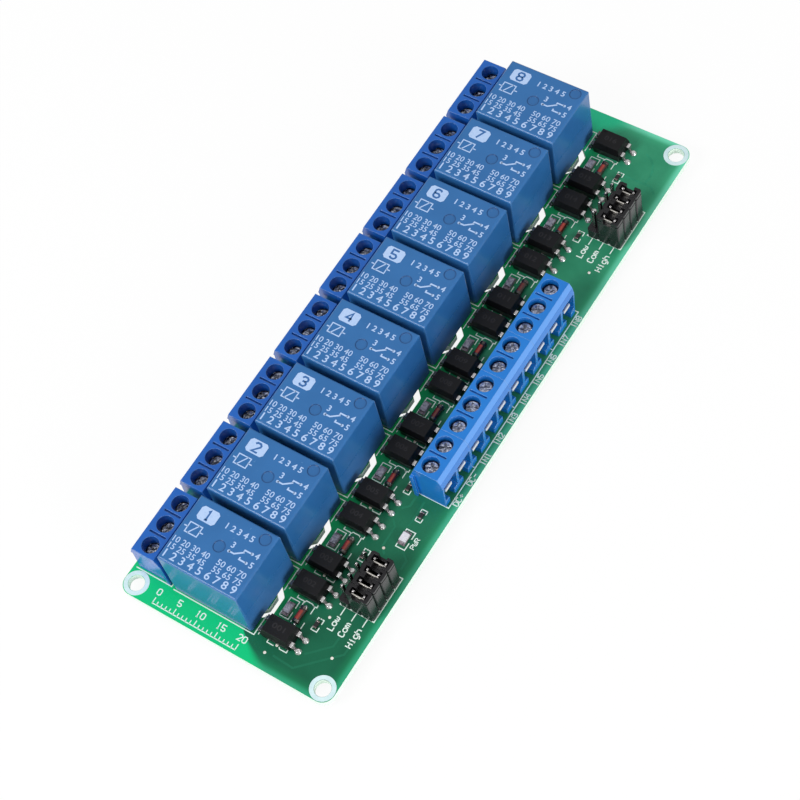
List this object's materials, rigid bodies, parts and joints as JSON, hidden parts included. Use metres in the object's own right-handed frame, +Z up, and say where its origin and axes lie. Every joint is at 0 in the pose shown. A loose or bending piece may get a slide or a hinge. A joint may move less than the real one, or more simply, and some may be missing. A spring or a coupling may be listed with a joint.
{
  "type": "relay module board",
  "caption": "Long green circuit board with a row of sealed blue relays, screw terminals along one edge, an input terminal strip, couplers and two jumper blocks.",
  "frame": {"origin": "centre of the four mounting holes, on the underside of the board", "axes": "+X from the output terminals' edge to the input strip's edge, +Y along the board from the end with the supply lamp's jumper block to the far end, +Z up from the soldered side to the relays"},
  "size_m": [0.05, 0.142, 0.0183],
  "materials": {
    "board": "green solder mask on glass-fibre laminate",
    "tinned": "tinned copper and solder, satin",
    "relay_blue": "satin blue moulded plastic",
    "relay_base_blue": "blue moulded plastic",
    "soft_iron": "zinc-plated soft iron",
    "bobbin": "natural plastic",
    "copper_wire": "enamelled copper winding",
    "contact_brass": "copper alloy strip",
    "contact_silver": "silver alloy",
    "output_blue": "glossy dark blue moulded plastic",
    "input_blue": "glossy bright blue moulded plastic",
    "screw_steel": "zinc-plated steel",
    "clamp_steel": "nickel-plated steel",
    "black_epoxy": "black moulded epoxy",
    "diode_glass": "red-brown glass",
    "dark_metal": "dark tinned metal",
    "lamp_body": "white ceramic",
    "lamp_lens": "milky clear resin",
    "black_plastic": "black moulded plastic"
  },
  "bodies": {
    "root": {"circuit_board": "board", "mounting_rings": "tinned", "relay_cover_1": "relay_blue", "relay_cover_2": "relay_blue", "relay_cover_3": "relay_blue", "relay_cover_4": "relay_blue", "relay_cover_5": "relay_blue", "relay_cover_6": "relay_blue", "relay_cover_7": "relay_blue", "relay_cover_8": "relay_blue", "relay_bases": "relay_base_blue", "relay_yokes": "soft_iron", "relay_cores": "soft_iron", "relay_bobbins": "bobbin", "relay_windings": "copper_wire", "relay_armatures": "soft_iron", "relay_springs": "contact_brass", "relay_contacts": "contact_silver", "relay_blades": "contact_brass", "relay_pins": "tinned", "output_terminal_1": "output_blue", "output_terminal_2": "output_blue", "output_terminal_3": "output_blue", "output_terminal_4": "output_blue", "output_terminal_5": "output_blue", "output_terminal_6": "output_blue", "output_terminal_7": "output_blue", "output_terminal_8": "output_blue", "output_screws": "screw_steel", "output_clamps": "clamp_steel", "output_pins": "tinned", "input_terminal_1": "input_blue", "input_terminal_2": "input_blue", "input_terminal_3": "input_blue", "input_terminal_4": "input_blue", "input_screws": "screw_steel", "input_clamps": "clamp_steel", "input_pins": "tinned", "coupler_bodies": "black_epoxy", "coupler_legs": "tinned", "diode_tubes": "diode_glass", "diode_caps": "dark_metal", "led_bases": "lamp_body", "led_lenses": "lamp_lens", "resistor_bodies": "black_epoxy", "resistor_ends": "tinned", "header_bases": "black_plastic", "header_pins": "contact_silver", "jumper_cap_1": "black_plastic", "jumper_cap_2": "black_plastic", "jumper_cap_3": "black_plastic", "jumper_cap_4": "black_plastic", "jumper_cap_5": "black_plastic", "jumper_cap_6": "black_plastic", "jumper_cap_7": "black_plastic", "jumper_cap_8": "black_plastic", "jumper_clips": "contact_silver", "solder_joints": "tinned", "solder_pads": "tinned"}
  },
  "joints": []
}
